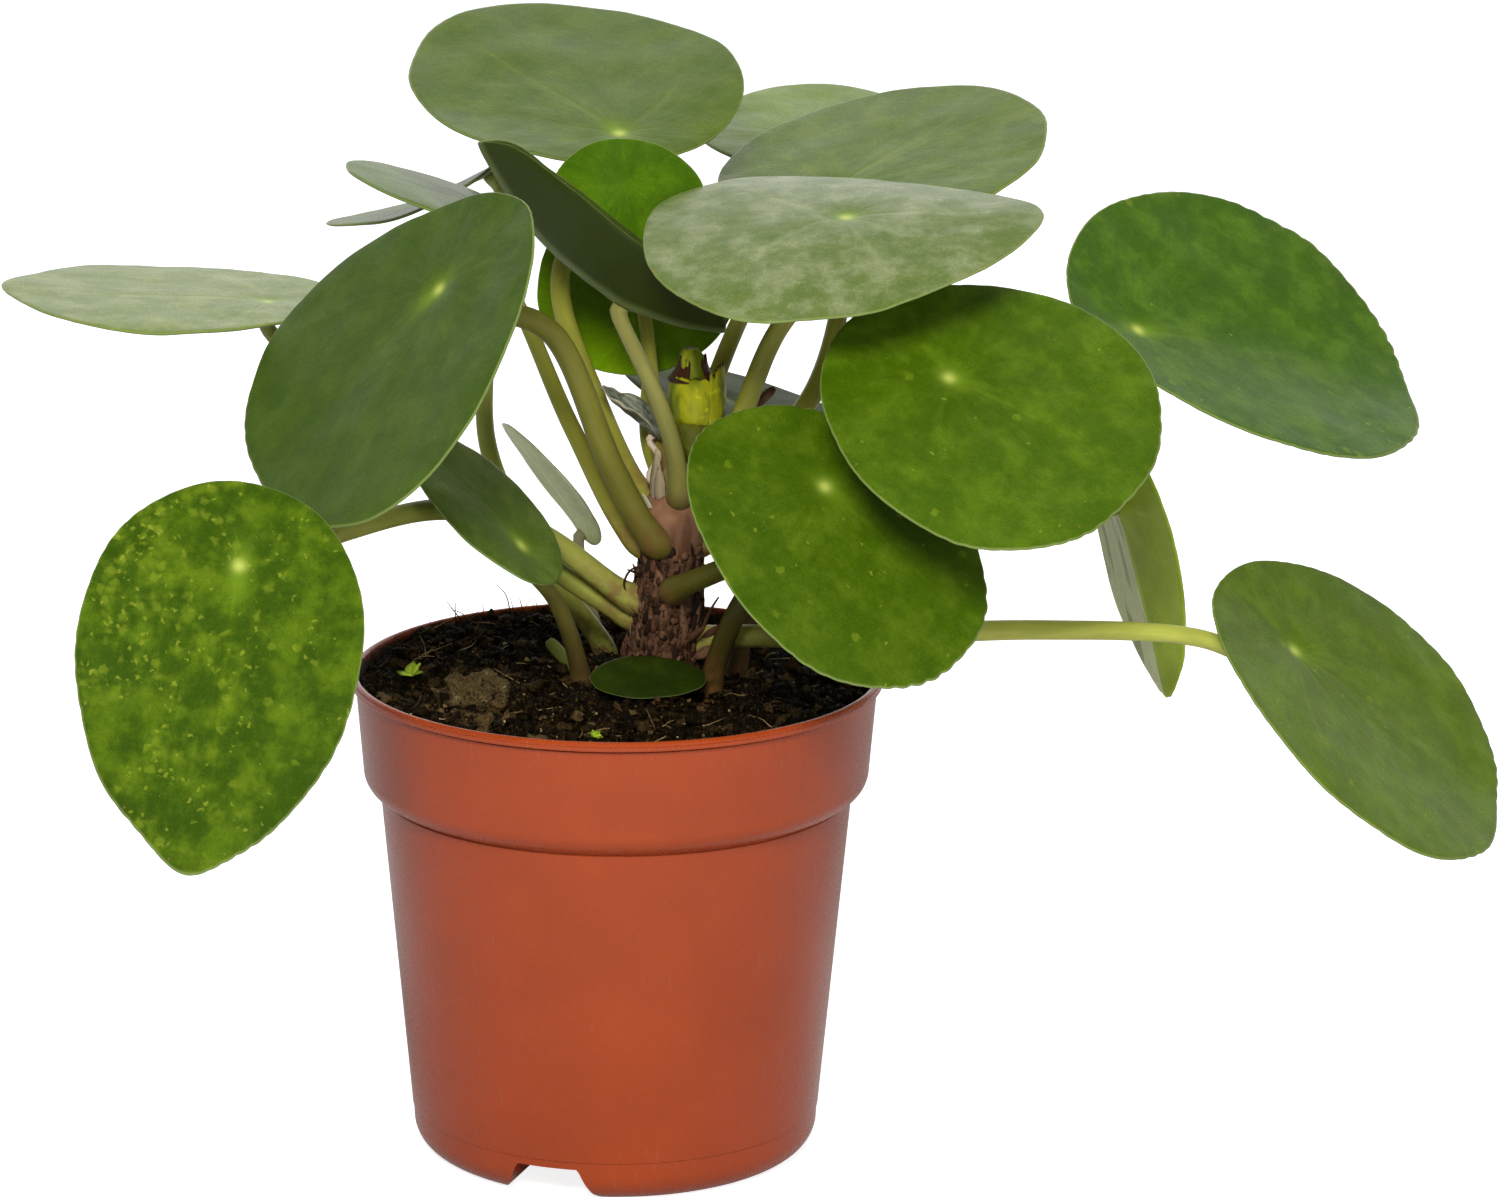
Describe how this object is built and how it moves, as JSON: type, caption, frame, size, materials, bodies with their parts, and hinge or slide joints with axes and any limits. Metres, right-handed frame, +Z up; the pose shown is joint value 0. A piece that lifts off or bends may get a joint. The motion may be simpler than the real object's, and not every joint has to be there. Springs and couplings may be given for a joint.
{
  "type": "potted pilea plant",
  "caption": "Young pilea with round leaves held from below by long stalks, on a short scaly trunk with a bud, in a round plastic nursery pot filled with soil.",
  "frame": {"origin": "centre of the pot's underside, at the surface it stands on", "axes": "+Z up, -Y towards the picture's camera, +X to the camera's right"},
  "size_m": [0.3378, 0.2545, 0.2447],
  "materials": {
    "pot": "satin moulded plastic, terracotta colour",
    "soil": "moist dark peat",
    "trunk": "flaky brown bark with leaf scars",
    "bud": "waxy yellow-green",
    "blade": "satin green leaf",
    "blade_deep": "satin deep green leaf",
    "blade_bright": "light shining through a young green leaf",
    "blade_pale": "greyish green leaf, seen from below or at a low angle",
    "stalk": "smooth olive green",
    "dry": "dull, dried and curled",
    "wither": "dull pinkish brown, dried"
  },
  "bodies": {
    "root": {"pot": "pot", "soil": "soil", "trunk": "trunk", "bud": "bud", "stub_left": "stalk", "stub_right": "wither", "leaf_dried": "dry", "blade_crown_back": "blade", "stalk_crown_back": "stalk", "blade_far_back": "blade_pale", "stalk_far_back": "stalk", "blade_crown_right": "blade", "stalk_crown_right": "stalk", "blade_centre": "blade", "stalk_centre": "stalk", "blade_front_right": "blade_deep", "stalk_front_right": "stalk", "blade_front_low": "blade_deep", "stalk_front_low": "stalk", "blade_right_upper": "blade_deep", "stalk_right_upper": "stalk", "blade_right_low": "blade_deep", "stalk_right_low": "stalk", "blade_right_hanging": "blade_pale", "stalk_right_hanging": "stalk", "blade_crown_small": "blade_bright", "stalk_crown_small": "stalk", "blade_folded": "blade_deep", "stalk_folded": "stalk", "blade_back_centre": "blade_bright", "stalk_back_centre": "stalk", "blade_left_large": "blade_deep", "stalk_left_large": "stalk", "blade_left_low": "blade_deep", "stalk_left_low": "stalk", "blade_left_far": "blade", "stalk_left_far": "stalk", "blade_left_back_upper": "blade_pale", "stalk_left_back_upper": "stalk", "blade_left_back": "blade_pale", "stalk_left_back": "stalk", "blade_left_small": "blade_deep", "stalk_left_small": "stalk", "blade_left_sliver": "blade_pale", "stalk_left_sliver": "stalk", "blade_back_right": "blade_pale", "stalk_back_right": "stalk", "blade_soil_front": "blade_deep", "stalk_soil_front": "stalk"}
  },
  "joints": []
}
